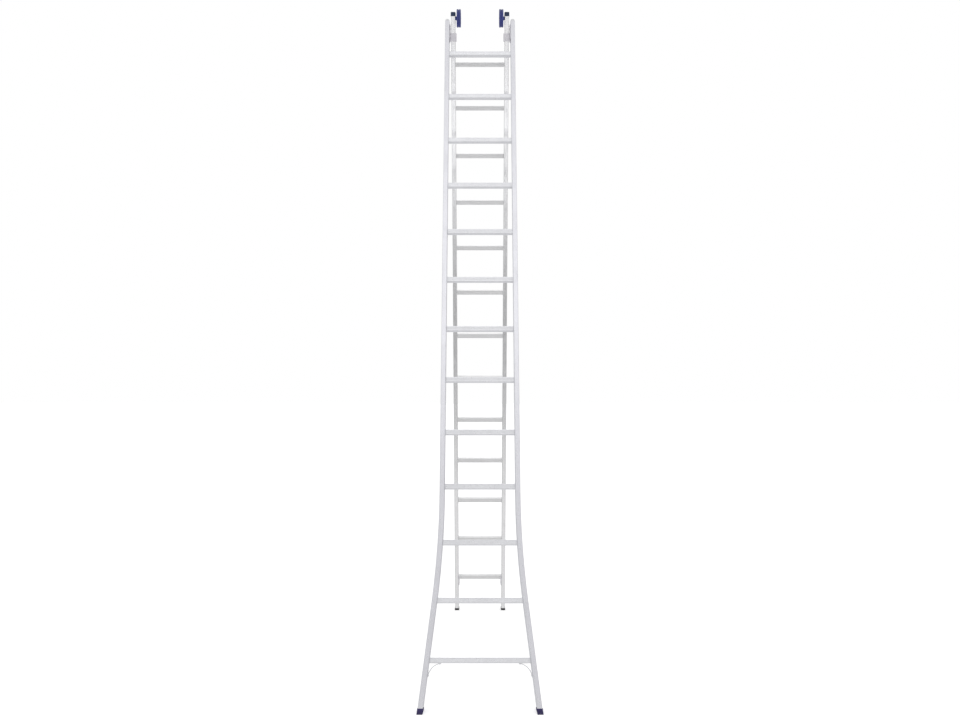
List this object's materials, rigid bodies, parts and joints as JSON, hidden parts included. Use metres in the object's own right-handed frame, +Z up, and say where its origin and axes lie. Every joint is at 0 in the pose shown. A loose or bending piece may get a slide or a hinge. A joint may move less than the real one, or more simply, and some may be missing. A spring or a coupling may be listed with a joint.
{
  "type": "extension ladder",
  "caption": "Two-section aluminium extension ladder standing open as an A-frame, with a flared base, sliding rear section, hinge guides and wall wheels at the top.",
  "frame": {"origin": "on the floor, in the middle of the footprint", "axes": "+X across the ladder to its right as seen from the front, -Y towards the front (wide base section), +Z up"},
  "size_m": [0.5976, 2.2504, 3.7289],
  "materials": {
    "aluminium": "extruded, lightly brushed mill finish",
    "grey_plug": "moulded, satin",
    "wheel_blue": "moulded, fine grain",
    "cap_navy": "moulded, satin",
    "foot_purple": "moulded, ribbed sole",
    "foot_black": "moulded, ribbed sole",
    "zinc_steel": "zinc plated, satin"
  },
  "bodies": {
    "base_section": {"base_stile_right": "aluminium", "base_stile_left": "aluminium", "base_end_plug_right": "grey_plug", "base_end_plug_left": "grey_plug", "base_foot_right": "foot_purple", "base_foot_left": "foot_purple", "base_corner_brace_right": "aluminium", "base_corner_brace_left": "aluminium", "hinge_plate_right": "zinc_steel", "hinge_plate_left": "zinc_steel", "base_rung_01": "aluminium", "base_rung_02": "aluminium", "base_rung_03": "aluminium", "base_rung_04": "aluminium", "base_rung_05": "aluminium", "base_rung_06": "aluminium", "base_rung_07": "aluminium", "base_rung_08": "aluminium", "base_rung_09": "aluminium", "base_rung_10": "aluminium", "base_rung_11": "aluminium", "base_rung_12": "aluminium", "base_rung_13": "aluminium"},
    "guide_carriage": {"guide_collar_right": "zinc_steel", "guide_collar_left": "zinc_steel", "pivot_bolt_right": "zinc_steel", "pivot_bolt_left": "zinc_steel"},
    "top_section": {"top_stile_right": "aluminium", "top_stile_left": "aluminium", "top_cap_right": "cap_navy", "top_cap_left": "cap_navy", "top_foot_right": "foot_black", "top_foot_left": "foot_black", "rung_hook_right": "zinc_steel", "rung_hook_left": "zinc_steel", "wheel_axle_right": "zinc_steel", "wheel_axle_left": "zinc_steel", "top_rung_01": "aluminium", "top_rung_02": "aluminium", "top_rung_03": "aluminium", "top_rung_04": "aluminium", "top_rung_05": "aluminium", "top_rung_06": "aluminium", "top_rung_07": "aluminium", "top_rung_08": "aluminium", "top_rung_09": "aluminium", "top_rung_10": "aluminium", "top_rung_11": "aluminium", "top_rung_12": "aluminium", "top_rung_13": "aluminium"},
    "left_wheel": {"wall_wheel_left": "wheel_blue"},
    "right_wheel": {"wall_wheel_right": "wheel_blue"}
  },
  "joints": [
    {"name": "a_frame_fold", "type": "hinge", "parent": "base_section", "child": "guide_carriage", "pos_m": [0, 0.02972, 3.57601], "axis": [1, 0, 0], "range_deg": [-33, 0]},
    {"name": "section_slide", "type": "slide", "parent": "guide_carriage", "child": "top_section", "axis": [0, -0.284, 0.9588], "range_m": [0, 2.791]},
    {"name": "left_wheel_spin", "type": "hinge", "parent": "top_section", "child": "left_wheel", "pos_m": [-0.124, -0.0005, 3.67803], "axis": [1, 0, 0], "continuous": true},
    {"name": "right_wheel_spin", "type": "hinge", "parent": "top_section", "child": "right_wheel", "pos_m": [0.124, -0.0005, 3.67803], "axis": [1, 0, 0], "continuous": true}
  ]
}
